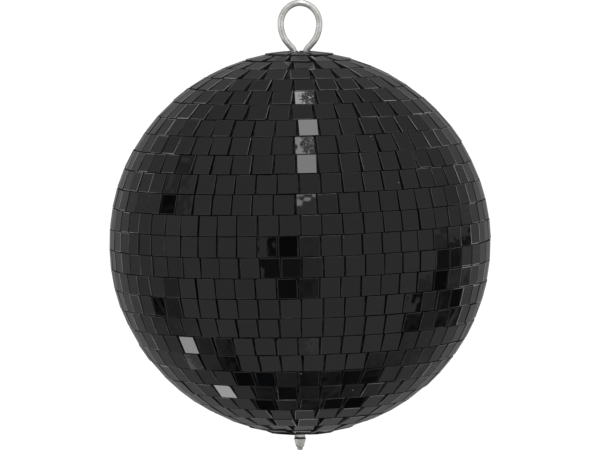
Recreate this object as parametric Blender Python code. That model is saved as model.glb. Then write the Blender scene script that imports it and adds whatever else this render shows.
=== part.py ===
"""A 20 cm mirror ball: rows of square mirror tiles glued round a hollow two-part shell, a steel
rod from pole to pole that clamps the shell, and a bent-wire eye that hangs the ball and rocks in
the drilled head of the rod.

Metres, +Z up. The origin is where a hook bears: the inside of the top of the eye. Heights called
"height" below are above the ball's centre.
"""

import math

import bmesh
import bpy

# Ball and tiles
BALL_RADIUS = 0.100  # to the corners of the tiles
TILE = 0.010  # side of one square tile
TILE_THICKNESS = 0.0015
JOINT_WIDTH = 0.0007  # open joint between neighbouring tiles
ROWS = 14  # rows from a pole to the equator
ROW_PITCH = math.radians(6.15)
ROW_LEAN = math.radians(1.5)  # the hand-laid rows lean this much at the equator, less near the poles
FIRST_TILE = math.radians(-87)  # direction of the meridian that the rows were started from
START_SPREAD = 0.12  # share of a tile that the starts wander to either side of it
CUT_ROWS = {1: 9, 2: 13}  # tiles in the rows next to a pole, cut narrower towards the pole
PROUD_ROWS = {1: 0.0009, 2: 0.0004}  # and this much further out than the rest
LEAST_FACETS = 24  # a short row is turned with several facets to a tile, so its corners stay in

# Shell and its joining band
SHELL_RADIUS = 0.0979
SHELL_WALL = 0.0024
SHELL_SIDES = 36
SHELL_OUTER_ARC = 9
SHELL_INNER_ARC = 6
POLE_HOLE = 0.0090  # radius of the hole at each pole
BAND_RADIUS = 0.0941
BAND_WALL = 0.0018
BAND_HALF_HEIGHT = 0.008

# Rod, with the flange and drilled tang at its top
ROD_RADIUS = 0.0014
ROD_BOTTOM = -0.1093
ROD_CHAMFER = 0.0003
FLANGE_RADIUS = 0.0055
FLANGE_BOTTOM = 0.0918
FLANGE_TOP = 0.0933
TANG_TOP = 0.0989
TANG_WIDTH = 0.0026  # along X, between the legs of the eye
TANG_DEPTH = 0.0080  # along Y

# Hanging eye
WIRE_RADIUS = 0.00165
HINGE_HEIGHT = 0.0955
HINGE_HOLE = 0.0020  # radius of the cross hole in the tang
EYE_HEIGHT = 0.1149  # the widest part of the loop
EYE_HALF_WIDTH = 0.0101  # of the centreline, like the next two
EYE_RISE = 0.0108  # from the widest part up to the top
EYE_DROP = 0.0132  # the loop curves in below its widest part as half an ellipse this deep
EYE_LEG = 0.0033  # half the distance between the upright legs
LEG_SLOPE = math.radians(41)  # the legs open out to the loop at this angle from upright
SLOPE_BEND = 0.0020
FOOT_BEND = 0.0020
FOOT_END = 0.0002  # the two feet stop this far from the middle of the tang
ARC_STEP = math.radians(12)

# Bushes that line the pole holes
BUSH_RADIUS = 0.0086
BUSH_FLANGE_RADIUS = 0.0140
BUSH_RECESS = 0.0062
BUSH_BORE = 0.0018
BUSH_MOUTH = 0.0975
BUSH_SEAT = 0.0906
BUSH_END = 0.0885
BUSH_FLANGE_TOP = 0.0935
BUSH_FLANGE_BOTTOM = 0.0917
BOTTOM_BUSH_SEAT = 0.0972
CLEARANCE = 0.0003  # between pieces that touch

# Stack on the rod
TUBE_RADIUS = 0.0040
TUBE_BORE = 0.0030
WASHER_RADIUS = 0.0052
WASHER_THICKNESS = 0.0006
BOTTOM_WASHER_RADIUS = 0.0060
BOTTOM_WASHER_THICKNESS = 0.0009
SPRING_RADIUS = 0.0029
SPRING_THICKNESS = 0.0008
SPRING_SLIT = 0.0007
NUT_BORE = 0.0017
LOCK_NUT_LEVELS = [(-0.1000, 0.0052), (-0.1003, 0.0056), (-0.1021, 0.0056), (-0.1024, 0.0052)]
TAPER_NUT_LEVELS = [(-0.1027, 0.0056), (-0.1033, 0.0062), (-0.1072, 0.0043), (-0.1075, 0.0040)]

FINE_SIDES = 28
MERGE_DISTANCE = 1e-6

ORIGIN_HEIGHT = EYE_HEIGHT + EYE_RISE - WIRE_RADIUS

MATERIALS = {
    "mirror_glass": ((0.030, 0.031, 0.033, 1.0), 0.04, 0.0),
    "shell_plastic": ((0.020, 0.020, 0.021, 1.0), 0.55, 0.0),
    "bush_nylon": ((0.035, 0.035, 0.036, 1.0), 0.50, 0.0),
    "bright_steel": ((0.62, 0.60, 0.57, 1.0), 0.22, 1.0),
    "rod_steel": ((0.50, 0.50, 0.50, 1.0), 0.32, 1.0),
    "washer_steel": ((0.55, 0.55, 0.54, 1.0), 0.30, 1.0),
    "tube_aluminium": ((0.70, 0.70, 0.71, 1.0), 0.35, 1.0),
}


def clear_scene():
    for obj in list(bpy.data.objects):
        bpy.data.objects.remove(obj)


def make_materials():
    made = {}
    for name, (colour, roughness, metallic) in MATERIALS.items():
        material = bpy.data.materials.new(name)
        material.use_nodes = True
        shader = material.node_tree.nodes["Principled BSDF"]
        shader.inputs["Base Color"].default_value = colour
        shader.inputs["Roughness"].default_value = roughness
        shader.inputs["Metallic"].default_value = metallic
        made[name] = material
    return made


def add_empty(name, height):
    empty = bpy.data.objects.new(name, None)
    empty.location = (0, 0, height - ORIGIN_HEIGHT)
    bpy.context.collection.objects.link(empty)
    return empty


def add_object(name, data, material, parent, smooth=True):
    """Puts a mesh or curve drawn about the ball's centre in its place under its parent."""
    obj = bpy.data.objects.new(name, data)
    bpy.context.collection.objects.link(obj)
    data.materials.append(material)
    obj.parent = parent
    obj.location = (0, 0, -ORIGIN_HEIGHT - parent.location.z)
    if smooth and obj.type == "MESH":
        data.shade_smooth()
        data.set_sharp_from_angle(angle=math.radians(32))
    return obj


def mesh_from(bm, name):
    bmesh.ops.remove_doubles(bm, verts=bm.verts, dist=MERGE_DISTANCE)
    bmesh.ops.recalc_face_normals(bm, faces=bm.faces)
    mesh = bpy.data.meshes.new(name)
    bm.to_mesh(mesh)
    bm.free()
    return mesh


def turned_mesh(name, outline, sides):
    """Spins a (radius, height) outline once round Z. An outline that starts on the axis stays
    open there, and any other is closed into a ring."""
    bm = bmesh.new()
    points = [bm.verts.new((radius, 0, height)) for radius, height in outline]
    pairs = list(zip(points, points[1:]))
    if outline[0][0] > 0:
        pairs.append((points[-1], points[0]))
    edges = [bm.edges.new(pair) for pair in pairs]
    bmesh.ops.spin(
        bm, geom=points + edges, cent=(0, 0, 0), axis=(0, 0, 1), angle=2 * math.pi, steps=sides
    )
    return mesh_from(bm, name)


def ring_outline(inner, outer, bottom, top):
    return [(outer, top), (outer, bottom), (inner, bottom), (inner, top)]


def arc(centre_x, centre_z, radius, start, end, steps):
    """Points on an arc in the XZ plane, from one angle above +X to another, ends included."""
    angles = [start + (end - start) * n / steps for n in range(steps + 1)]
    return [(centre_x + radius * math.cos(a), centre_z + radius * math.sin(a)) for a in angles]


def hide_cutter(cutter):
    cutter.hide_render = True
    cutter.display_type = "WIRE"


def add_boolean(obj, tool, operation):
    modifier = obj.modifiers.new(operation.lower(), "BOOLEAN")
    modifier.operation = operation
    modifier.object = tool
    hide_cutter(tool)


def add_box(name, size, centre, parent, material):
    bm = bmesh.new()
    bmesh.ops.create_cube(bm, size=1)
    bmesh.ops.scale(bm, vec=size, verts=bm.verts)
    bmesh.ops.translate(bm, vec=centre, verts=bm.verts)
    return add_object(name, mesh_from(bm, name), material, parent, smooth=False)


def hexagon_mesh(name, levels):
    """A hexagonal bar through (height, width across flats) levels, with a corner towards -Y."""
    bm = bmesh.new()
    rings = []
    for height, across_flats in levels:
        corner = across_flats / 2 / math.cos(math.pi / 6)
        angles = [math.pi / 2 + n * math.pi / 3 for n in range(6)]
        rings.append([bm.verts.new((corner * math.cos(a), corner * math.sin(a), height)) for a in angles])
    bm.faces.new(rings[0])
    bm.faces.new(rings[-1])
    for upper, lower in zip(rings, rings[1:]):
        for n in range(6):
            after = (n + 1) % 6
            bm.faces.new((upper[n], upper[after], lower[after], lower[n]))
    return mesh_from(bm, name)


def tiles_in_row(number, latitude):
    """How many square tiles fit round a row, along its edge nearer the pole."""
    if number in CUT_ROWS:
        return CUT_ROWS[number]
    face = math.sqrt(BALL_RADIUS**2 - TILE**2 / 2)
    edge = face * math.cos(latitude) - TILE / 2 * math.sin(latitude)
    return int(math.pi / math.atan((TILE + JOINT_WIDTH) / 2 / edge))


def row_outline(number, latitude, facets):
    """Section through the middle of a tile, stretched out to the corner between two facets."""
    face = math.sqrt(BALL_RADIUS**2 - TILE**2 / 2) + PROUD_ROWS.get(number, 0)
    stretch = 1 / math.cos(math.pi / facets)
    corners = [(face, 1), (face, -1), (face - TILE_THICKNESS, -1), (face - TILE_THICKNESS, 1)]
    outline = []
    for distance, side in corners:
        along = side * TILE / 2
        radius = distance * math.cos(latitude) - along * math.sin(latitude)
        height = distance * math.sin(latitude) + along * math.cos(latitude)
        outline.append((radius * stretch, height))
    return outline


def row_start(number, sign, tiles):
    """Direction of the middle of a row's first tile. The starts wander from row to row."""
    wander = START_SPREAD * math.sin(2.4 * number + sign)
    return FIRST_TILE + wander * math.tau / tiles


def add_mirror_rows(ball, materials):
    """Fourteen rows above the equator and fourteen below, numbered from the poles."""
    for half, sign in (("upper", 1), ("lower", -1)):
        for number in range(1, ROWS + 1):
            latitude = sign * (ROWS - number + 0.5) * ROW_PITCH
            tiles = tiles_in_row(number, abs(latitude))
            to_a_tile = math.ceil(LEAST_FACETS / tiles)
            facets = tiles * (to_a_tile + (to_a_tile + 1) % 2)
            name = f"mirror_row_{half}_{number:02d}"
            outline = [(r, sign * z) for r, z in row_outline(number, abs(latitude), facets)]
            mesh = turned_mesh(name, outline, facets)
            row = add_object(name, mesh, materials["mirror_glass"], ball, smooth=False)
            row.rotation_mode = "ZYX"
            lean = -ROW_LEAN * math.cos(latitude)
            row.rotation_euler = (0, lean, row_start(number, sign, tiles) - math.pi / facets)


def shell_outline():
    """The upper half: outside from the pole hole to the rim, then inside from rim to hole."""
    inner = SHELL_RADIUS - SHELL_WALL
    rim = CLEARANCE / 2
    hole, edge = math.acos(POLE_HOLE / SHELL_RADIUS), math.asin(rim / SHELL_RADIUS)
    outside = arc(0, 0, SHELL_RADIUS, hole, edge, SHELL_OUTER_ARC)
    hole, edge = math.acos(POLE_HOLE / inner), math.asin(rim / inner)
    inside = arc(0, 0, inner, edge, hole, SHELL_INNER_ARC)
    return outside + inside


def add_shell(ball, materials):
    plastic = materials["shell_plastic"]
    for name, sign in (("upper_shell", 1), ("lower_shell", -1)):
        outline = [(r, sign * z) for r, z in shell_outline()]
        add_object(name, turned_mesh(name, outline, SHELL_SIDES), plastic, ball)
    band = ring_outline(BAND_RADIUS - BAND_WALL, BAND_RADIUS, -BAND_HALF_HEIGHT, BAND_HALF_HEIGHT)
    add_object("equator_band", turned_mesh("equator_band", band, SHELL_SIDES), plastic, ball)


def add_bushes(ball, materials):
    """The top bush has a deep recess for the head of the rod, the bottom bush is plain."""
    nylon = materials["bush_nylon"]
    flange = [
        (BUSH_RADIUS, BUSH_FLANGE_TOP),
        (BUSH_FLANGE_RADIUS, BUSH_FLANGE_TOP),
        (BUSH_FLANGE_RADIUS, BUSH_FLANGE_BOTTOM),
        (BUSH_RADIUS, BUSH_FLANGE_BOTTOM),
        (BUSH_RADIUS, BUSH_END),
        (BUSH_BORE, BUSH_END),
    ]
    recess = [(BUSH_BORE, BUSH_SEAT), (BUSH_RECESS, BUSH_SEAT), (BUSH_RECESS, BUSH_MOUTH)]
    top = [(BUSH_RADIUS, BUSH_MOUTH), *flange, *recess]
    add_object("top_bush", turned_mesh("top_bush", top, FINE_SIDES), nylon, ball)
    plain = [(BUSH_RADIUS, BOTTOM_BUSH_SEAT), *flange, (BUSH_BORE, BOTTOM_BUSH_SEAT)]
    bottom = [(r, -z) for r, z in plain]
    add_object("bottom_bush", turned_mesh("bottom_bush", bottom, FINE_SIDES), nylon, ball)


def add_rod(ball, materials):
    """Rod and flange turned in one, with the flat tang on top and the cross hole through it."""
    steel = materials["rod_steel"]
    outline = [
        (0, FLANGE_TOP),
        (FLANGE_RADIUS, FLANGE_TOP),
        (FLANGE_RADIUS, FLANGE_BOTTOM),
        (ROD_RADIUS, FLANGE_BOTTOM),
        (ROD_RADIUS, ROD_BOTTOM + ROD_CHAMFER),
        (ROD_RADIUS - ROD_CHAMFER, ROD_BOTTOM),
        (0, ROD_BOTTOM),
    ]
    rod = add_object("centre_rod", turned_mesh("centre_rod", outline, FINE_SIDES), steel, ball)
    root = (FLANGE_BOTTOM + FLANGE_TOP) / 2
    tang = add_box(
        "tang_tool",
        (TANG_WIDTH, TANG_DEPTH, TANG_TOP - root),
        (0, 0, (TANG_TOP + root) / 2),
        ball,
        steel,
    )
    add_boolean(rod, tang, "UNION")
    hole = turned_mesh("hole_tool", [(0, 0.01), (HINGE_HOLE, 0.01), (HINGE_HOLE, -0.01), (0, -0.01)], 24)
    drill = add_object("hole_tool", hole, steel, ball)
    drill.location.z += HINGE_HEIGHT
    drill.rotation_euler = (0, math.pi / 2, 0)
    add_boolean(rod, drill, "DIFFERENCE")


def eye_half():
    """Centreline of the right half of the eye, from the foot up to the top of the loop."""
    turn = math.atan(math.tan(LEG_SLOPE) * EYE_DROP / EYE_HALF_WIDTH)
    slope_x = EYE_HALF_WIDTH * math.cos(turn)
    slope_z = EYE_HEIGHT - EYE_DROP * math.sin(turn)
    corner_z = slope_z - (slope_x - EYE_LEG) / math.tan(LEG_SLOPE)
    bend_z = corner_z - SLOPE_BEND * math.tan(LEG_SLOPE / 2)
    foot = arc(EYE_LEG - FOOT_BEND, HINGE_HEIGHT + FOOT_BEND, FOOT_BEND, -math.pi / 2, 0, 6)
    open_out = arc(EYE_LEG + SLOPE_BEND, bend_z, SLOPE_BEND, math.pi, math.pi - LEG_SLOPE, 4)
    steps = round(turn / ARC_STEP)
    below = [-turn * (steps - n) / steps for n in range(steps)]
    steps = round(math.pi / 2 / ARC_STEP)
    above = [math.pi / 2 * n / steps for n in range(steps + 1)]
    loop = [(math.cos(a), math.sin(a) * EYE_DROP) for a in below]
    loop += [(math.cos(a), math.sin(a) * EYE_RISE) for a in above]
    loop = [(x * EYE_HALF_WIDTH, EYE_HEIGHT + z) for x, z in loop]
    return [(FOOT_END, HINGE_HEIGHT), *foot, *open_out, *loop]


def add_eye(hinge, materials):
    """One bent wire: up from its right foot, over the loop and down to its left foot."""
    right = eye_half()
    left = [(-x, z) for x, z in reversed(right[:-1])]
    points = right + left
    curve = bpy.data.curves.new("hanging_eye", "CURVE")
    curve.dimensions = "3D"
    curve.bevel_depth = WIRE_RADIUS
    curve.bevel_resolution = 3
    curve.use_fill_caps = True
    spline = curve.splines.new("POLY")
    spline.points.add(len(points) - 1)
    for point, (x, z) in zip(spline.points, points):
        point.co = (x, 0, z, 1)
    add_object("hanging_eye", curve, materials["bright_steel"], hinge)


def add_stack(ball, materials):
    """The tube inside the ball, and what the rod carries at both ends."""
    aluminium = materials["tube_aluminium"]
    washer = materials["washer_steel"]
    tube = ring_outline(TUBE_BORE, TUBE_RADIUS, CLEARANCE - BUSH_END, BUSH_END - CLEARANCE)
    add_object("spacer_tube", turned_mesh("spacer_tube", tube, FINE_SIDES), aluminium, ball)

    seat = BUSH_SEAT + CLEARANCE
    head = ring_outline(BUSH_BORE, WASHER_RADIUS, seat, seat + WASHER_THICKNESS)
    add_object("head_washer", turned_mesh("head_washer", head, FINE_SIDES), washer, ball)

    top = -BOTTOM_BUSH_SEAT - CLEARANCE
    bottom = top - BOTTOM_WASHER_THICKNESS
    plate = ring_outline(BUSH_BORE, BOTTOM_WASHER_RADIUS, bottom, top)
    add_object("bottom_washer", turned_mesh("bottom_washer", plate, FINE_SIDES), washer, ball)

    top = bottom - CLEARANCE
    ring = ring_outline(BUSH_BORE, SPRING_RADIUS, top - SPRING_THICKNESS, top)
    spring = add_object("spring_washer", turned_mesh("spring_washer", ring, FINE_SIDES), washer, ball)
    middle = (0, (BUSH_BORE + SPRING_RADIUS) / 2, top - SPRING_THICKNESS / 2)
    size = (SPRING_SLIT, 2 * (SPRING_RADIUS - BUSH_BORE), 2 * SPRING_THICKNESS)
    slit = add_box("slit_tool", size, middle, ball, washer)
    add_boolean(spring, slit, "DIFFERENCE")


def add_nuts(ball, materials):
    """The plain nut that clamps the ball, and the tapered nut that locks and finishes it."""
    bright = materials["bright_steel"]
    for name, levels in (("lock_nut", LOCK_NUT_LEVELS), ("tapered_nut", TAPER_NUT_LEVELS)):
        nut = add_object(name, hexagon_mesh(name, levels), bright, ball, smooth=False)
        top = levels[0][0] + CLEARANCE / 2
        bottom = levels[-1][0] - CLEARANCE / 2
        bore = [(0, top), (NUT_BORE, top), (NUT_BORE, bottom), (0, bottom)]
        drill = add_object(f"{name}_drill", turned_mesh(f"{name}_drill", bore, FINE_SIDES), bright, ball)
        add_boolean(nut, drill, "DIFFERENCE")


def main():
    clear_scene()
    materials = make_materials()
    hinge = add_empty("eye_frame", HINGE_HEIGHT)
    ball = add_empty("ball_frame", HINGE_HEIGHT)
    add_eye(hinge, materials)
    add_rod(ball, materials)
    add_bushes(ball, materials)
    add_stack(ball, materials)
    add_nuts(ball, materials)
    add_shell(ball, materials)
    add_mirror_rows(ball, materials)


main()
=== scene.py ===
"""The looks of the mirror ball: every tile of black mirror glass on its own, the bent-wire eye and
the steel fittings, hung in a plain white studio. Lengths are in metres and angles in radians."""

import math
import random

import bmesh
import bpy
from mathutils import Matrix, Vector


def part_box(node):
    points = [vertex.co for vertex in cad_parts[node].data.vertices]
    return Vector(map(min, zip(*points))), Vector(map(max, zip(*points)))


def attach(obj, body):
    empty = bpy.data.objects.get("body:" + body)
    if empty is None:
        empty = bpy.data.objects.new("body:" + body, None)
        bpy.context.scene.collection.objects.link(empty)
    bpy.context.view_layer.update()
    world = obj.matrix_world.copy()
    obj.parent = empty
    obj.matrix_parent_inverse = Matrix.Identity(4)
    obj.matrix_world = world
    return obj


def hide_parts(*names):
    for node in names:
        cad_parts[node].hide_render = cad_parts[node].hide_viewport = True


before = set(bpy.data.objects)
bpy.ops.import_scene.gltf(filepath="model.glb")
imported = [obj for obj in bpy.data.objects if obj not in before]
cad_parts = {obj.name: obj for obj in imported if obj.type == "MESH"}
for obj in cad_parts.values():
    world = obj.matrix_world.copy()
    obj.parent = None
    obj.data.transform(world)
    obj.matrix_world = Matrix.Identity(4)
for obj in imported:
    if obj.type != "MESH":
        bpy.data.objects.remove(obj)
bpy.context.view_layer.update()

# The ball: its centre lies where the two shells meet
CENTRE = Vector((0, 0, (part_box("upper_shell")[0].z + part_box("lower_shell")[1].z) / 2))
BALL_RADIUS = 0.100  # to the corners of the tiles
TILE = 0.010
TILE_THICKNESS = 0.0015
JOINT_WIDTH = 0.0007  # between the tiles of a row
ROW_JOINT = 0.00045  # between one row and the next, where the tiles sit closer
TILE_HEIGHT = TILE + JOINT_WIDTH - ROW_JOINT
ROWS = 14  # from a pole to the equator
ROW_PITCH = math.radians(6.15)
ROW_LEAN = math.radians(1.5)  # at the equator, less near the poles
FIRST_TILE = math.radians(-87)  # direction of the meridian that the rows start from
START_SPREAD = 0.12  # share of a tile that the starts wander to either side of it
START_WANDER = 2.4  # radians of the wander from one row to the next
CUT_ROWS = {1: 9, 2: 13}  # tiles in the rows next to a pole, cut narrower towards the pole
PROUD_ROWS = {1: 0.0009, 2: 0.0004}  # and this much further out than the rest

# How unevenly the tiles are cut and laid
SIDEWAYS = 0.00022
OUTWARD = 0.00022
TWIST = math.radians(0.9)
TILT = math.radians(0.6)
SIZE_SPREAD = 0.00015
SIZE_RANGE = (-1, 0.5)  # in spreads: more tiles are too small than too large
EDGE_DROP = 0.00009  # the ground edge falls this far below the face
EDGE_WIDTHS = (0.00008, 0.00030)
CHIP = 0.0009
SMALLEST_CHIP = 0.4  # share of CHIP
CHIPPED_SHARE = 0.15
SMEARED_SHARE = 0.05

# Tiles whose coating has gone in places: longitude from straight ahead and latitude, in degrees
CRACKED_TILES = [(3, 52), (3, 34), (-38, -34), (3, -28), (-14, 77), (10, 77), (0, 83)]
CRACKED_REACH = (3.25, 3.0)  # half a tile and its joint in longitude at the equator, and in latitude
CRACKED_SHARE = 0.006  # of all the other tiles

# Painted light on the tiles' ground edges and sides: its level in the middle of the front, round it,
# and at the back.
# The angles from straight ahead, in degrees, say where one goes over into the next.
PAINTED_LIGHT_FRONT, PAINTED_LIGHT_ROUND, PAINTED_LIGHT_BACK = 0.50, 1.05, 0.65
PAINTED_LIGHT_RISE = (40, 66)
PAINTED_LIGHT_FALL = (95, 125)
GRIND_RANGE = (0.4, 1.0)  # from one side of a tile to the next

# Places in a tile's list of materials
GLASS, EDGE, SIDE = 0, 1, 2

# Camera: a long lens a little above the ball
CAMERA_DISTANCE = 2.5
CAMERA_ELEVATION = math.radians(4)
LENS = 286.0  # millimetres, like the sensor's width
SENSOR = 36.0
NEAREST, FARTHEST = 0.1, 200.0
AIM_ABOVE_CENTRE = 0.0093
TO_CAMERA = Vector((0, -math.cos(CAMERA_ELEVATION), math.sin(CAMERA_ELEVATION)))

# Studio
FLOOR_BELOW_CENTRE = 0.48
FLOOR_RADIUS = 60.0
FLOOR_SIDES = 96
LIGHT_ALL_ROUND = 1.25
# What the mirrors see: degrees from the camera's direction, and brightness
REFLECTED_ROOM = [(0, 0.96), (74, 0.95), (96, 0.68), (112, 0.44), (130, 0.37), (150, 0.32), (180, 0.20)]
CARD_DISTANCE = 1.6
CARD_STEPS = 6
CLOTH_SCALE = 5.0
DARKEST_CLOTH = 0.01


# ---------------------------------------------------------------- shader helpers


def new_material(name):
    """A material, its node tree and its Principled shader."""
    material = bpy.data.materials.new(name)
    material.use_nodes = True
    tree = material.node_tree
    shader = tree.nodes["Principled BSDF"]
    return material, tree, shader


def add_node(tree, kind, inputs=None, **settings):
    """A node with its settings, and its inputs set to values or linked to other sockets."""
    node = tree.nodes.new(kind)
    for key, value in settings.items():
        setattr(node, key, value)
    for key, value in (inputs or {}).items():
        if isinstance(value, bpy.types.NodeSocket):
            tree.links.new(value, node.inputs[key])
        else:
            node.inputs[key].default_value = value
    return node


def math_node(tree, operation, *values, clamp=False):
    node = tree.nodes.new("ShaderNodeMath")
    node.operation = operation
    node.use_clamp = clamp
    for socket, value in zip(node.inputs, values):
        if isinstance(value, bpy.types.NodeSocket):
            tree.links.new(value, socket)
        else:
            socket.default_value = value
    return node.outputs[0]


def scaled_sum(tree, first, first_share, second, second_share):
    """first x first_share + second x second_share."""
    rest = math_node(tree, "MULTIPLY", second, second_share)
    return math_node(tree, "MULTIPLY_ADD", first, first_share, rest)


def square(tree, value):
    return math_node(tree, "MULTIPLY", value, value)


def noise(tree, vector, scale, detail=3.0, roughness=0.5, distortion=0.0):
    settings = {"Vector": vector, "Scale": scale, "Detail": detail, "Roughness": roughness}
    node = add_node(tree, "ShaderNodeTexNoise", {**settings, "Distortion": distortion})
    return node.outputs["Fac"]


def ramp(tree, factor, stops):
    """A colour ramp through (position, grey or colour) stops."""
    node = add_node(tree, "ShaderNodeValToRGB", {"Fac": factor})
    elements = node.color_ramp.elements
    while len(elements) < len(stops):
        elements.new(0.5)
    for element, (position, colour) in zip(elements, stops):
        if isinstance(colour, (int, float)):
            colour = (colour, colour, colour)
        element.position = position
        element.color = (*colour, 1.0)
    return node.outputs["Color"]


def mix_colour(tree, factor, first, second):
    """Goes from the first colour to the second with the factor."""
    node = tree.nodes.new("ShaderNodeMix")
    node.data_type = "RGBA"
    sockets = (node.inputs["Factor"], node.inputs[6], node.inputs[7])
    for socket, value in zip(sockets, (factor, first, second)):
        if isinstance(value, bpy.types.NodeSocket):
            tree.links.new(value, socket)
        elif socket.name == "Factor":
            socket.default_value = value
        else:
            socket.default_value = (*value, 1.0)
    return node.outputs[2]


def bump(tree, shader, height, strength, distance):
    """Bumps as high as the distance, in metres."""
    node = add_node(
        tree, "ShaderNodeBump", {"Height": height, "Strength": strength, "Distance": distance}
    )
    tree.links.new(node.outputs["Normal"], shader.inputs["Normal"])


def object_coordinates(tree):
    return add_node(tree, "ShaderNodeTexCoord").outputs["Object"]


def attribute(tree, name, output="Fac"):
    return add_node(tree, "ShaderNodeAttribute", attribute_name=name).outputs[output]


# ---------------------------------------------------------------- materials


def mirror_glass():
    """Black mirror glass: polished, faintly wavy, with wiped smears, dust and crackled coating."""
    material, tree, shader = new_material("black_mirror_glass")
    place = object_coordinates(tree)
    on_tile = attribute(tree, "on_tile", "Vector")
    tone = attribute(tree, "tone")
    cracked = attribute(tree, "cracked")
    smeared = attribute(tree, "smeared")

    cloud = noise(tree, place, 90, 2)
    shade = scaled_sum(tree, tone, 0.7, cloud, 0.3)
    glass = ramp(tree, shade, [(0.0, (0.0010, 0.0011, 0.0012)), (1.0, (0.0035, 0.0037, 0.0042))])

    specks = add_node(tree, "ShaderNodeTexVoronoi", {"Vector": place, "Scale": 420, "Randomness": 1.0})
    near_speck = math_node(tree, "LESS_THAN", specks.outputs["Distance"], 0.11)
    sparse = math_node(tree, "GREATER_THAN", noise(tree, place, 60, 2), 0.70)
    dust = math_node(tree, "MULTIPLY", near_speck, sparse)

    # The crackle spreads from the middle of the tile's right-hand side as a net of fine dark
    # branches. A place on the tile runs from 0 to 1 both ways.
    split = add_node(tree, "ShaderNodeSeparateXYZ", {"Vector": on_tile})
    across = math_node(tree, "SUBTRACT", split.outputs["X"], 0.85)
    upward = math_node(tree, "SUBTRACT", split.outputs["Y"], 0.50)
    reach = math_node(tree, "SQRT", math_node(tree, "ADD", square(tree, across), square(tree, upward)))
    ragged = math_node(tree, "MULTIPLY_ADD", noise(tree, place, 420, 5, 0.7, 1.0), 1.1, 0.02)
    near_side = math_node(tree, "MULTIPLY", math_node(tree, "SUBTRACT", ragged, reach), 9.0, clamp=True)
    veins = noise(tree, place, 980, 3, 0.6, 1.4)
    branches = math_node(tree, "MULTIPLY_ADD", veins, 24.0, -10.6, clamp=True)
    crackle = math_node(tree, "MULTIPLY", math_node(tree, "MULTIPLY", near_side, branches), cracked)

    glass = mix_colour(tree, crackle, glass, (0.020, 0.021, 0.022))
    colour = mix_colour(tree, dust, glass, (0.30, 0.30, 0.29))
    tree.links.new(colour, shader.inputs["Base Color"])

    wiped = noise(tree, place, 240, 4, 0.6, 0.4)
    smear = math_node(tree, "MULTIPLY", math_node(tree, "MULTIPLY", wiped, 0.16), smeared)
    rough = math_node(tree, "ADD", math_node(tree, "MULTIPLY_ADD", cloud, 0.03, 0.02), smear)
    rough = math_node(tree, "MAXIMUM", rough, math_node(tree, "MULTIPLY", crackle, 0.85))
    rough = math_node(tree, "MAXIMUM", rough, math_node(tree, "MULTIPLY", dust, 0.8))
    tree.links.new(rough, shader.inputs["Roughness"])
    shader.inputs["Specular IOR Level"].default_value = 0.26
    ripple = scaled_sum(tree, noise(tree, place, 130, 1), 1.0, crackle, 0.6)
    bump(tree, shader, ripple, 0.35, 0.0002)
    return material


def ground_edge():
    """The cut and lightly ground rim of a tile: grey frosted glass with darker chips, and painted light
    that makes it lighter round the ball than in the middle of the front.
    """
    material, tree, shader = new_material("ground_glass_edge")
    place = object_coordinates(tree)
    chips = noise(tree, place, 900, 4, 0.7)
    along = noise(tree, place, 110, 2)
    # Painted light: the tone that the tiles carry makes the rim lighter round the ball than in the
    # middle of the front.
    edge_tone_and_painted_light = math_node(tree, "POWER", attribute(tree, "tone"), 1.8)
    mixed = scaled_sum(tree, along, 0.35, chips, 0.25)
    mixed = math_node(tree, "MULTIPLY_ADD", edge_tone_and_painted_light, 0.5, mixed)
    colour = ramp(tree, mixed, [(0.28, 0.001), (0.46, 0.006), (0.58, 0.055), (0.80, 0.30)])
    tree.links.new(colour, shader.inputs["Base Color"])
    tree.links.new(ramp(tree, chips, [(0.3, 0.22), (0.7, 0.50)]), shader.inputs["Roughness"])
    shader.inputs["Specular IOR Level"].default_value = 0.42
    bump(tree, shader, chips, 0.35, 0.00008)
    return material


def tile_side():
    """The black painted sides and back of a tile, down in the joints, some with glue on them, and
    painted light that makes them lighter round the ball than in the middle of the front.
    """
    material, tree, shader = new_material("black_tile_backing")
    place = object_coordinates(tree)
    coat = noise(tree, place, 500, 3)
    # Painted light in the glue: the tone that the tiles carry makes the sides lighter round the ball
    # than in the middle of the front.
    glue_and_painted_light = scaled_sum(tree, attribute(tree, "tone"), 0.6, coat, 0.4)
    tree.links.new(ramp(tree, glue_and_painted_light, [(0.35, 0.001), (0.80, 0.030)]), shader.inputs["Base Color"])
    tree.links.new(ramp(tree, coat, [(0.2, 0.6), (0.8, 0.85)]), shader.inputs["Roughness"])
    shader.inputs["Specular IOR Level"].default_value = 0.08
    return material


def glued_shell():
    """The moulded core under the tiles: black plastic smeared with dark tile glue."""
    material, tree, shader = new_material("shell_under_glue")
    place = object_coordinates(tree)
    lumps = noise(tree, place, 260, 5, 0.6)
    streaks = noise(tree, place, 900, 3)
    tree.links.new(
        ramp(tree, lumps, [(0.35, (0.0020, 0.0020, 0.0021)), (0.65, (0.045, 0.045, 0.044))]),
        shader.inputs["Base Color"],
    )
    tree.links.new(ramp(tree, streaks, [(0.3, 0.55), (0.7, 0.9)]), shader.inputs["Roughness"])
    shader.inputs["Specular IOR Level"].default_value = 0.08
    bump(tree, shader, math_node(tree, "ADD", lumps, streaks), 0.5, 0.0004)
    return material


def moulded_nylon():
    """Dark nylon with the clouds of its moulding and a fine grain."""
    material, tree, shader = new_material("moulded_nylon")
    place = object_coordinates(tree)
    grain = noise(tree, place, 1800, 3)
    flow = noise(tree, place, 120, 2)
    tree.links.new(ramp(tree, flow, [(0.3, 0.018), (0.7, 0.034)]), shader.inputs["Base Color"])
    tree.links.new(ramp(tree, grain, [(0.3, 0.42), (0.7, 0.6)]), shader.inputs["Roughness"])
    bump(tree, shader, grain, 0.2, 0.0001)
    return material


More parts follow.
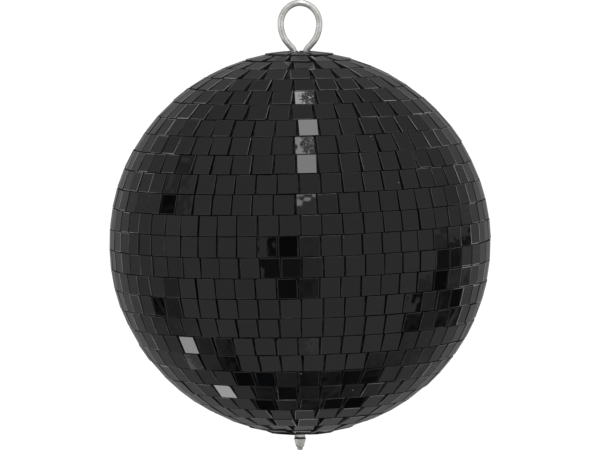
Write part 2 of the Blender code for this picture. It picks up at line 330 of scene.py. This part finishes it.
def steel(name, dark, light, roughness, stretch=(1, 1, 1), scratch=0.2, clouds=170, metallic=1.0):
    """Plated or drawn steel: cloudy plating, fine scratches that follow the stretch, and specks
    of tarnish. A metallic value below 1 gives it a pale haze."""
    material, tree, shader = new_material(name)
    place = object_coordinates(tree)
    mapped = add_node(tree, "ShaderNodeMapping", {"Vector": place, "Scale": stretch}).outputs[0]
    cloud = noise(tree, place, clouds, 4, 0.6)
    lines = noise(tree, mapped, 1600, 3, 0.6)
    specks = noise(tree, place, 900, 2)
    body = ramp(tree, cloud, [(0.30, dark), (0.62, light)])
    tarnish = math_node(tree, "MULTIPLY_ADD", specks, 9.0, -5.9, clamp=True)
    tree.links.new(
        mix_colour(tree, math_node(tree, "MULTIPLY", tarnish, 0.55), body, (0.16, 0.15, 0.13)),
        shader.inputs["Base Color"],
    )
    shader.inputs["Metallic"].default_value = metallic
    rough = ramp(tree, lines, [(0.30, roughness * 0.75), (0.75, min(1.0, roughness * 1.6))])
    tree.links.new(rough, shader.inputs["Roughness"])
    bump(tree, shader, math_node(tree, "ADD", lines, cloud), scratch, 0.00006)
    return material


def bright_plating():
    """The eye's wire."""
    dark, light = (0.44, 0.435, 0.415), (0.72, 0.71, 0.69)
    return steel("bright_plated_steel", dark, light, 0.20, scratch=0.35, metallic=0.66)


def dull_plating():
    """Both nuts."""
    dark, light = (0.20, 0.195, 0.18), (0.50, 0.49, 0.47)
    return steel("dull_plated_steel", dark, light, 0.24, scratch=0.5, clouds=380)


def washer_plating():
    return steel("washer_plating", (0.34, 0.34, 0.33), (0.55, 0.55, 0.53), 0.30, (1, 1, 6))


def turned_rod():
    return steel("turned_rod_steel", (0.30, 0.30, 0.30), (0.50, 0.49, 0.48), 0.28, (1, 1, 8), 0.3)


def drawn_tube():
    return steel("drawn_aluminium", (0.55, 0.55, 0.56), (0.75, 0.75, 0.76), 0.32, (6, 6, 1))


# ---------------------------------------------------------------- mesh helpers


def object_from(bm, name, *materials):
    """Turns a bmesh into an object with these materials."""
    mesh = bpy.data.meshes.new(name)
    bm.to_mesh(mesh)
    bm.free()
    for material in materials:
        mesh.materials.append(material)
    made = bpy.data.objects.new(name, mesh)
    bpy.context.collection.objects.link(made)
    return made


def band(bm, first, second):
    """Joins two rings of the same number of points with faces."""
    faces = []
    for n in range(len(first)):
        after = (n + 1) % len(first)
        faces.append(bm.faces.new((first[n], first[after], second[after], second[n])))
    return faces


def swept_bar(name, rings, sharp_angle, material):
    """A closed bar through rings of points, smooth but for edges sharper than the angle."""
    bm = bmesh.new()
    rings = [[bm.verts.new(point) for point in ring] for ring in rings]
    for first, second in zip(rings, rings[1:]):
        band(bm, first, second)
    bm.faces.new(reversed(rings[0]))
    bm.faces.new(rings[-1])
    bmesh.ops.recalc_face_normals(bm, faces=bm.faces)
    bar = object_from(bm, name, material)
    bar.data.shade_smooth()
    bar.data.set_sharp_from_angle(angle=sharp_angle)
    return bar


def outward_at(direction, latitude):
    """Unit vector from the ball's centre. The direction turns from +X towards +Y."""
    flat = math.cos(latitude)
    return Vector((flat * math.cos(direction), flat * math.sin(direction), math.sin(latitude)))


# ---------------------------------------------------------------- tiles


def tiles_in_row(number, latitude):
    """As many whole tiles as fit at the row's edge nearer the pole."""
    if number in CUT_ROWS:
        return CUT_ROWS[number]
    face = face_distance()
    edge = face * math.cos(latitude) - TILE / 2 * math.sin(latitude)
    return int(math.pi / math.atan((TILE + JOINT_WIDTH) / 2 / edge))


def face_distance():
    """From the ball's centre to the middle of a tile's face, with its corners on the ball."""
    return math.sqrt(BALL_RADIUS**2 - TILE**2 / 2)


def row_start(number, sign, tiles):
    """Direction of the middle of a row's first tile, as in the CAD rows."""
    wander = START_SPREAD * math.sin(START_WANDER * number + sign)
    return FIRST_TILE + wander * math.tau / tiles


def tile_frame(number, latitude, direction):
    """Axes of a tile's face at its place on the ball: along its row, towards the pole, outward."""
    outward = outward_at(direction, latitude)
    along = Vector((-math.sin(direction), math.cos(direction), 0))
    up = outward.cross(along)
    axes = Matrix((along, up, outward)).transposed().to_4x4()
    distance = face_distance() + PROUD_ROWS.get(number, 0)
    return Matrix.Translation(outward * distance) @ axes


def tile_widths(latitude, tiles):
    """Widths of a row's tiles along their edge away from the pole and along the edge nearer it.
    Only the rows cut to fit round the pole are narrower there."""
    widths = []
    for side in (-1, 1):
        radius = face_distance() * math.cos(latitude) - side * TILE / 2 * math.sin(latitude)
        room = 2 * radius * math.tan(math.pi / tiles) - JOINT_WIDTH
        widths.append(min(TILE, room))
    return widths


def chipped(outline, chance):
    """Breaks a small piece off one corner of some tiles."""
    if chance.random() > CHIPPED_SHARE:
        return outline
    at = chance.randrange(len(outline))
    corner = Vector(outline[at])
    before = Vector(outline[at - 1])
    after = Vector(outline[(at + 1) % len(outline)])
    first = corner + (before - corner).normalized() * chance.uniform(SMALLEST_CHIP, 1) * CHIP
    second = corner + (after - corner).normalized() * chance.uniform(SMALLEST_CHIP, 1) * CHIP
    return outline[:at] + [tuple(first), tuple(second)] + outline[at + 1 :]


def inset(outline, chance):
    """The outline drawn in by the width of the ground edge, different on each side."""
    widths = [chance.uniform(*EDGE_WIDTHS) for _ in outline]
    drawn = []
    for n, corner in enumerate(outline):
        corner = Vector(corner)
        along_before = (corner - Vector(outline[n - 1])).normalized()
        along_after = (Vector(outline[(n + 1) % len(outline)]) - corner).normalized()
        sine = along_before.cross(along_after)
        drawn.append(corner + (along_after * widths[n - 1] - along_before * widths[n]) / sine)
    return [tuple(point) for point in drawn]


def tile_sections(widths, chance):
    """Corner points of a tile and their height: its back, its rim and its face."""
    spread = chance.uniform(*SIZE_RANGE) * SIZE_SPREAD
    half_low, half_high = (width / 2 + spread / 2 for width in widths)
    half_height = (TILE_HEIGHT + chance.uniform(*SIZE_RANGE) * SIZE_SPREAD) / 2
    skew = chance.uniform(-1, 1) * SIZE_SPREAD / 2
    rim = [
        (-half_low - skew, -half_height),
        (half_low - skew, -half_height),
        (half_high + skew, half_height),
        (-half_high + skew, half_height),
    ]
    rim = chipped(rim, chance)
    return [(rim, -TILE_THICKNESS), (rim, -EDGE_DROP), (inset(rim, chance), 0)]


def front_angles(point):
    """Longitude from straight ahead, to the right, and latitude of a point about the centre."""
    longitude = math.degrees(math.atan2(point.x, -point.y))
    return longitude, math.degrees(math.asin(point.z / point.length))


def is_cracked(place, chance):
    """Whether the tile at this place is on the list, or is one of the few others."""
    longitude, latitude = front_angles(place)
    width = CRACKED_REACH[0] / math.cos(math.radians(latitude))
    height = CRACKED_REACH[1]
    listed = any(abs(longitude - a) < width and abs(latitude - b) < height for a, b in CRACKED_TILES)
    return listed or chance.random() < CRACKED_SHARE


def share_of(span, value):
    """How far a value has gone from the start of a span to its end, from 0 to 1."""
    start, end = span
    return min(1.0, max(0.0, (value - start) / (end - start)))


def painted_light_share(place):
    """Painted light: how light a tile's edge and sides are painted, least in the middle of the front,
    most round it.
    """
    from_front = math.degrees(math.acos(-place.y / place.length))
    rise = (PAINTED_LIGHT_ROUND - PAINTED_LIGHT_FRONT) * share_of(PAINTED_LIGHT_RISE, from_front)
    fall = (PAINTED_LIGHT_ROUND - PAINTED_LIGHT_BACK) * share_of(PAINTED_LIGHT_FALL, from_front)
    return PAINTED_LIGHT_FRONT + rise - fall


def add_tile(bm, layers, matrix, widths, chance):
    """One tile: its back and sides, its ground edge, and its face with what the paint reads."""
    sections = tile_sections(widths, chance)
    rings = [[bm.verts.new(matrix @ Vector((x, y, z))) for x, y in ring] for ring, z in sections]
    tone, cracked, smeared, on_tile = layers
    back = bm.faces.new(reversed(rings[0]))
    back.material_index = SIDE
    # Painted light: a tile's sides and ground edge are painted lighter round the ball than in the
    # middle of the front.
    edge_tone_and_painted_light = painted_light_share(matrix.translation)
    for lower, upper, finish in zip(rings, rings[1:], (SIDE, EDGE)):
        for side in band(bm, lower, upper):
            side.material_index = finish
            side[tone] = chance.uniform(*GRIND_RANGE) * edge_tone_and_painted_light
    face = bm.faces.new(rings[-1])
    face.material_index = GLASS
    face[tone] = chance.random()
    face[cracked] = float(is_cracked(matrix.translation, chance))
    face[smeared] = float(chance.random() < SMEARED_SHARE)
    for loop, (x, y) in zip(face.loops, sections[-1][0]):
        loop[on_tile] = (x / TILE + 0.5, y / TILE + 0.5, 0)


def tile_row(name, latitude, number, sign, materials):
    """A row of tiles, each laid a little unevenly."""
    chance = random.Random(name)
    tiles = tiles_in_row(number, abs(latitude))
    low_width, high_width = tile_widths(abs(latitude), tiles)
    widths = (low_width, high_width) if sign > 0 else (high_width, low_width)
    start = row_start(number, sign, tiles)
    lean = Matrix.Rotation(-ROW_LEAN * math.cos(latitude), 4, "Y")
    bm = bmesh.new()
    layers = [bm.faces.layers.float.new(key) for key in ("tone", "cracked", "smeared")]
    layers.append(bm.loops.layers.float_vector.new("on_tile"))
    for n in range(tiles):
        slide = Vector((chance.uniform(-1, 1) * SIDEWAYS, 0, chance.uniform(-1, 1) * OUTWARD))
        turn = Matrix.Rotation(chance.uniform(-1, 1) * TWIST, 4, "Z")
        tip = Matrix.Rotation(chance.uniform(-1, 1) * TILT, 4, "X")
        roll = Matrix.Rotation(chance.uniform(-1, 1) * TILT, 4, "Y")
        laid = Matrix.Translation(slide) @ tip @ roll @ turn
        place = lean @ tile_frame(number, latitude, start + n * math.tau / tiles)
        add_tile(bm, layers, place @ laid, widths, chance)
    bmesh.ops.recalc_face_normals(bm, faces=bm.faces)
    row = object_from(bm, name, *materials)
    row.location = CENTRE
    return row


def add_tiles():
    """Every row of tiles from both poles to the equator, in place of the rows in the frame."""
    materials = (mirror_glass(), ground_edge(), tile_side())
    for half, sign in (("upper", 1), ("lower", -1)):
        for number in range(1, ROWS + 1):
            latitude = sign * (ROWS - number + 0.5) * ROW_PITCH
            row = tile_row(f"tiles_{half}_{number:02d}", latitude, number, sign, materials)
            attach(row, "ball")
            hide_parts(f"mirror_row_{half}_{number:02d}")


# ---------------------------------------------------------------- hanging eye

WIRE_RADIUS = 0.00165
EYE_HEIGHT = 0.1149  # of its widest part above the ball's centre, as in the CAD eye
EYE_HALF_WIDTH = 0.0101  # of the centreline, like the next two
EYE_RISE = 0.0108
EYE_DROP = 0.0132
EYE_LEG = 0.0033  # half the distance between the upright legs
LEG_SLOPE = math.radians(41)
SLOPE_BEND = 0.0020
HINGE_HEIGHT = 0.0955
FOOT_BEND = 0.0020
FOOT_END = 0.0002
FOOT_STEPS = 10
SLOPE_STEPS = 8
BELOW_STEPS = 12
ABOVE_STEPS = 24
WIRE_SIDES = 28
CUT_END = math.radians(50)  # edges sharper than this stay sharp


def arc(centre_x, centre_z, radius, start, end, steps):
    """Points round an arc in the plane of the eye."""
    centre = Vector((centre_x, 0, centre_z))
    angles = [start + (end - start) * n / steps for n in range(steps + 1)]
    return [centre + radius * Vector((math.cos(a), 0, math.sin(a))) for a in angles]


def eye_half():
    """Centreline of the right half of the eye, from its foot up to the top of the loop."""
    turn = math.atan(math.tan(LEG_SLOPE) * EYE_DROP / EYE_HALF_WIDTH)
    slope_x = EYE_HALF_WIDTH * math.cos(turn)
    slope_z = EYE_HEIGHT - EYE_DROP * math.sin(turn)
    corner_z = slope_z - (slope_x - EYE_LEG) / math.tan(LEG_SLOPE)
    bend_z = corner_z - SLOPE_BEND * math.tan(LEG_SLOPE / 2)
    foot = arc(EYE_LEG - FOOT_BEND, HINGE_HEIGHT + FOOT_BEND, FOOT_BEND, -math.pi / 2, 0, FOOT_STEPS)
    open_out = arc(
        EYE_LEG + SLOPE_BEND, bend_z, SLOPE_BEND, math.pi, math.pi - LEG_SLOPE, SLOPE_STEPS
    )
    below = [-turn * (BELOW_STEPS - n) / BELOW_STEPS for n in range(BELOW_STEPS)]
    above = [math.pi / 2 * n / ABOVE_STEPS for n in range(ABOVE_STEPS + 1)]
    loop = [(math.cos(a), math.sin(a) * EYE_DROP) for a in below]
    loop += [(math.cos(a), math.sin(a) * EYE_RISE) for a in above]
    loop = [Vector((x * EYE_HALF_WIDTH, 0, EYE_HEIGHT + z)) for x, z in loop]
    return [Vector((FOOT_END, 0, HINGE_HEIGHT)), *foot, *open_out, *loop]


def add_eye():
    """The bent wire as one swept round bar."""
    right = eye_half()
    left = [Vector((-p.x, 0, p.z)) for p in reversed(right[:-1])]
    path = right + left
    across = Vector((0, 1, 0))
    angles = [side * math.tau / WIRE_SIDES for side in range(WIRE_SIDES)]
    rings = []
    last = len(path) - 1
    for n, point in enumerate(path):
        ahead = (path[min(n + 1, last)] - path[max(n - 1, 0)]).normalized()
        outward = across.cross(ahead)
        offsets = [(across * math.cos(a) + outward * math.sin(a)) * WIRE_RADIUS for a in angles]
        rings.append([CENTRE + point + offset for offset in offsets])
    eye = swept_bar("eye_wire", rings, CUT_END, bright_plating())
    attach(eye, "eye")
    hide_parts("hanging_eye")


# ---------------------------------------------------------------- thread

THREAD_PITCH = 0.0005
THREAD_RADIUS = 0.0015
THREAD_ROOT = 0.00134  # below the rod's own surface, so that the ridge grows out of it
THREAD_ROOT_HALF = 0.00024  # half the ridge's width there, and at its crest
THREAD_CREST_HALF = 0.00005
THREAD_FROM_TIP = 0.0005
THREAD_STEPS = 24  # to a turn
THREAD_LOWEST = 0.1  # share of the ridge's height where it starts and ends
THREAD_CREST = math.radians(35)  # edges sharper than this stay sharp


def add_thread(material):
    """The thread on the end of the rod: one ridge wound round it, from the tip up through the nuts,
    that fades out over a turn at each end."""
    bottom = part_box("centre_rod")[0].z + THREAD_FROM_TIP
    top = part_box("lock_nut")[1].z
    steps = round((top - bottom) / THREAD_PITCH * THREAD_STEPS)
    rings = []
    for n in range(steps + 1):
        angle = n * math.tau / THREAD_STEPS
        height = bottom + n * THREAD_PITCH / THREAD_STEPS
        share = min(1.0, THREAD_LOWEST + min(n, steps - n) / THREAD_STEPS)
        crest = THREAD_ROOT + (THREAD_RADIUS - THREAD_ROOT) * share
        profile = [
            (THREAD_ROOT, -THREAD_ROOT_HALF),
            (crest, -THREAD_CREST_HALF),
            (crest, THREAD_CREST_HALF),
            (THREAD_ROOT, THREAD_ROOT_HALF),
        ]
        cosine, sine = math.cos(angle), math.sin(angle)
        rings.append([Vector((r * cosine, r * sine, height + z)) for r, z in profile])
    thread = swept_bar("rod_thread", rings, THREAD_CREST, material)
    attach(thread, "ball")


# ---------------------------------------------------------------- carried-over CAD nodes

BUSH_EDGE = 0.0002
NUT_EDGE = 0.00015
WASHER_EDGE = 0.0001
BEVEL_STEPS = 3
BEVEL_ANGLE = math.radians(25)


def finish_node(name, material, bevel=0.0):
    """Gives a CAD node its material, and rounds its sharp edges where a bevel is given."""
    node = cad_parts[name]
    node.data.materials.clear()
    node.data.materials.append(material)
    if bevel:
        modifier = node.modifiers.new("edge_rounding", "BEVEL")
        modifier.width = bevel
        modifier.segments = BEVEL_STEPS
        modifier.limit_method = "ANGLE"
        modifier.angle_limit = BEVEL_ANGLE
        modifier.harden_normals = True


def finish_cad_nodes():
    """Materials for the nodes whose CAD shape is kept, and the thread that goes on the rod."""
    shell = glued_shell()
    nylon = moulded_nylon()
    washer = washer_plating()
    nut = dull_plating()
    for name in ("upper_shell", "lower_shell", "equator_band"):
        finish_node(name, shell)
    for name in ("top_bush", "bottom_bush"):
        finish_node(name, nylon, BUSH_EDGE)
    for name in ("head_washer", "bottom_washer", "spring_washer"):
        finish_node(name, washer, WASHER_EDGE)
    for name in ("lock_nut", "tapered_nut"):
        finish_node(name, nut, NUT_EDGE)
    rod = turned_rod()
    finish_node("centre_rod", rod, NUT_EDGE)
    add_thread(rod)
    finish_node("spacer_tube", drawn_tube(), WASHER_EDGE)


# ---------------------------------------------------------------- studio


def reflected(longitude, latitude):
    """Direction that a tile at this place on the front of the ball shows to the camera."""
    outward = outward_at(math.radians(longitude - 90), math.radians(latitude))
    return 2 * outward.dot(TO_CAMERA) * outward - TO_CAMERA


def along_span(span, step, steps):
    """The value this many equal steps along a span."""
    return span[0] + (span[1] - span[0]) * step / steps


def card_material(name, brightness, patchy):
    """A light, or a dark cloth whose brightness varies by the patchiness to either side."""
    material = bpy.data.materials.new(name)
    material.use_nodes = True
    tree = material.node_tree
    tree.nodes.clear()
    light = add_node(tree, "ShaderNodeEmission", {"Color": (1, 1, 1, 1), "Strength": brightness})
    if patchy:
        cloth = noise(tree, object_coordinates(tree), CLOTH_SCALE, 3)
        spread = math_node(tree, "MULTIPLY_ADD", cloth, 3.5, -1.25, clamp=True)
        patches = math_node(tree, "MULTIPLY_ADD", spread, 2 * patchy, brightness - patchy)
        patches = math_node(tree, "MAXIMUM", patches, DARKEST_CLOTH)
        tree.links.new(patches, light.inputs["Strength"])
    output = add_node(tree, "ShaderNodeOutputMaterial")
    tree.links.new(light.outputs[0], output.inputs["Surface"])
    return material


def add_card(name, longitudes, latitudes, brightness, patchy=0.0):
    """A studio card or lamp, placed where the tiles at these longitudes and latitudes see it. Only
    reflections see the card, so it never stands in front of a camera."""
    bm = bmesh.new()
    grid = []
    for m in range(CARD_STEPS + 1):
        line = []
        for n in range(CARD_STEPS + 1):
            longitude = along_span(longitudes, n, CARD_STEPS)
            latitude = along_span(latitudes, m, CARD_STEPS)
            line.append(bm.verts.new(CENTRE + reflected(longitude, latitude) * CARD_DISTANCE))
        grid.append(line)
    for lower, upper in zip(grid, grid[1:]):
        for n in range(CARD_STEPS):
            bm.faces.new((lower[n], lower[n + 1], upper[n + 1], upper[n]))
    card = object_from(bm, name, card_material(name, brightness, patchy))
    card.visible_camera = False
    card.visible_diffuse = False
    card.visible_shadow = False
    card.visible_transmission = False


def add_world():
    """White all round. In reflections the side behind the ball is dimmer than the front."""
    world = bpy.data.worlds.new("studio")
    bpy.context.scene.world = world
    world.use_nodes = True
    tree = world.node_tree
    background = tree.nodes["Background"]
    direction = add_node(tree, "ShaderNodeTexCoord").outputs["Generated"]
    ahead = add_node(
        tree, "ShaderNodeVectorMath", {0: direction, 1: TO_CAMERA}, operation="DOT_PRODUCT"
    ).outputs["Value"]
    half_turns = math_node(tree, "DIVIDE", math_node(tree, "ARCCOSINE", ahead), math.pi)
    in_mirrors = ramp(tree, half_turns, [(angle / 180, level) for angle, level in REFLECTED_ROOM])
    is_glossy = add_node(tree, "ShaderNodeLightPath").outputs["Is Glossy Ray"]
    colour = mix_colour(tree, is_glossy, (LIGHT_ALL_ROUND,) * 3, in_mirrors)
    tree.links.new(colour, background.inputs["Color"])
    background.inputs["Strength"].default_value = 1.0


def floor_paint():
    """Pale matt paint, a little uneven."""
    material, tree, shader = new_material("floor_paint")
    place = object_coordinates(tree)
    paint = noise(tree, place, 3.0, 2)
    tree.links.new(ramp(tree, paint, [(0.3, 0.86), (0.7, 0.88)]), shader.inputs["Base Color"])
    shader.inputs["Roughness"].default_value = 0.9
    return material


def add_floor():
    """A wide plain floor under the hanging ball."""
    bm = bmesh.new()
    bmesh.ops.create_circle(bm, cap_ends=True, radius=FLOOR_RADIUS, segments=FLOOR_SIDES)
    floor = object_from(bm, "floor", floor_paint())
    floor.location = CENTRE - Vector((0, 0, FLOOR_BELOW_CENTRE))
    floor.visible_glossy = False


def add_studio():
    """World, floor, and the lamps and dark cards that single tiles show: for each card the spans
    of longitude and latitude on the ball, in degrees, and its brightness."""
    add_world()
    add_floor()
    add_card("lamp_overhead_back", (0.6, 5.6), (50.0, 55.0), 9.0)
    add_card("lamp_overhead", (0.6, 5.6), (24.0, 43.6), 9.0)
    add_card("lamp_overhead_front", (0.6, 5.6), (15.2, 18.6), 7.0)
    add_card("lamp_low_left", (-44, -38), (-30, -25), 6.3)
    add_card("lamp_low_left_back", (-35.5, -28.5), (-49, -43), 4.8)
    add_card("lamp_low_left_glint", (-41, -36), (-37, -32), 1.9, patchy=1.5)
    add_card("dark_round_camera", (-9.0, 3.0), (-13, 7), 0.02, patchy=0.08)
    add_card("dim_beside_camera", (3.0, 6.5), (-13, 7), 0.60, patchy=0.15)
    add_card("dark_gap_right", (45, 59), (-24, 4), 0.10, patchy=0.30)
    add_card("dark_gap_right_low", (36, 45), (-29, -8), 0.28, patchy=0.35)
    add_card("dark_gap_corner", (20, 50), (-37.5, -28), 0.25, patchy=0.35)
    add_card("dark_gap_below", (-22, 32), (-54, -37.5), 0.05, patchy=0.25)
    add_card("dark_gap_low_left", (-34, -20), (-37.5, -27), 0.22, patchy=0.30)
    add_card("dark_gap_left", (-44, -36), (-24, -3), 0.42, patchy=0.30)
    add_card("dark_gap_far_left", (-52, -44), (-28, -14), 0.30, patchy=0.30)
    add_card("dark_gap_high_left", (-44, -37), (10, 27), 0.30, patchy=0.30)


def add_camera():
    """The photograph's view, from the front and a little above."""
    data = bpy.data.cameras.new("camera")
    data.lens = LENS
    data.sensor_width = SENSOR
    data.clip_start = NEAREST
    data.clip_end = FARTHEST
    camera = bpy.data.objects.new("camera", data)
    bpy.context.collection.objects.link(camera)
    aim = CENTRE + Vector((0, 0, AIM_ABOVE_CENTRE))
    camera.location = aim + TO_CAMERA * CAMERA_DISTANCE
    camera.rotation_mode = "QUATERNION"
    camera.rotation_quaternion = (-TO_CAMERA).to_track_quat("-Z", "Y")
    bpy.context.scene.camera = camera


def main():
    bpy.context.scene.view_settings.view_transform = "Standard"
    add_camera()
    add_studio()
    add_tiles()
    add_eye()
    finish_cad_nodes()
    bpy.context.view_layer.update()


main()
